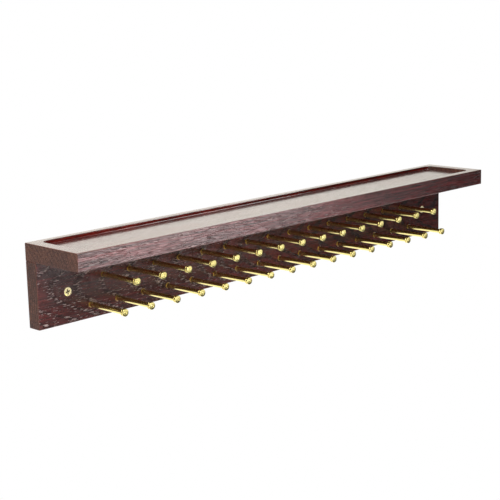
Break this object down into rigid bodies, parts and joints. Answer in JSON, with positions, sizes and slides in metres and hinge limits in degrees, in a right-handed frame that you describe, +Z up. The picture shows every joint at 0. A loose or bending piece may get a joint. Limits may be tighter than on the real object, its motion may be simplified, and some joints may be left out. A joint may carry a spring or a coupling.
{
  "type": "wall tie rack",
  "caption": "Wall-mounted dark wood tie rack with two staggered rows of turned brass pegs under a shelf with a shallow tray top.",
  "frame": {"origin": "on the wall plane (the back face of the back board), midway between the two wall screws", "axes": "+X along the rack to the viewer's right, +Y into the wall, +Z up; the pegs and the shelf reach out along -Y"},
  "size_m": [0.6, 0.1067, 0.0795],
  "materials": {
    "stained_shelf": "dark red-brown stained open-grain hardwood, satin lacquer",
    "stained_board": "dark red-brown stained open-grain hardwood, satin lacquer",
    "polished_brass": "turned and polished",
    "screw_brass": "bright brass plate",
    "dowel_wood": "plain unstained beech"
  },
  "bodies": {
    "root": {"shelf_tray": "stained_shelf", "back_board": "stained_board", "wall_screw_left": "screw_brass", "wall_screw_right": "screw_brass", "dowel_pin_1": "dowel_wood", "dowel_pin_2": "dowel_wood", "dowel_pin_3": "dowel_wood", "dowel_pin_4": "dowel_wood", "dowel_pin_5": "dowel_wood", "lower_peg_01": "polished_brass", "lower_peg_02": "polished_brass", "lower_peg_03": "polished_brass", "lower_peg_04": "polished_brass", "lower_peg_05": "polished_brass", "lower_peg_06": "polished_brass", "lower_peg_07": "polished_brass", "lower_peg_08": "polished_brass", "lower_peg_09": "polished_brass", "lower_peg_10": "polished_brass", "lower_peg_11": "polished_brass", "lower_peg_12": "polished_brass", "lower_peg_13": "polished_brass", "lower_peg_14": "polished_brass", "lower_peg_15": "polished_brass", "lower_peg_16": "polished_brass", "upper_peg_01": "polished_brass", "upper_peg_02": "polished_brass", "upper_peg_03": "polished_brass", "upper_peg_04": "polished_brass", "upper_peg_05": "polished_brass", "upper_peg_06": "polished_brass", "upper_peg_07": "polished_brass", "upper_peg_08": "polished_brass", "upper_peg_09": "polished_brass", "upper_peg_10": "polished_brass", "upper_peg_11": "polished_brass", "upper_peg_12": "polished_brass", "upper_peg_13": "polished_brass", "upper_peg_14": "polished_brass", "upper_peg_15": "polished_brass"}
  },
  "joints": []
}
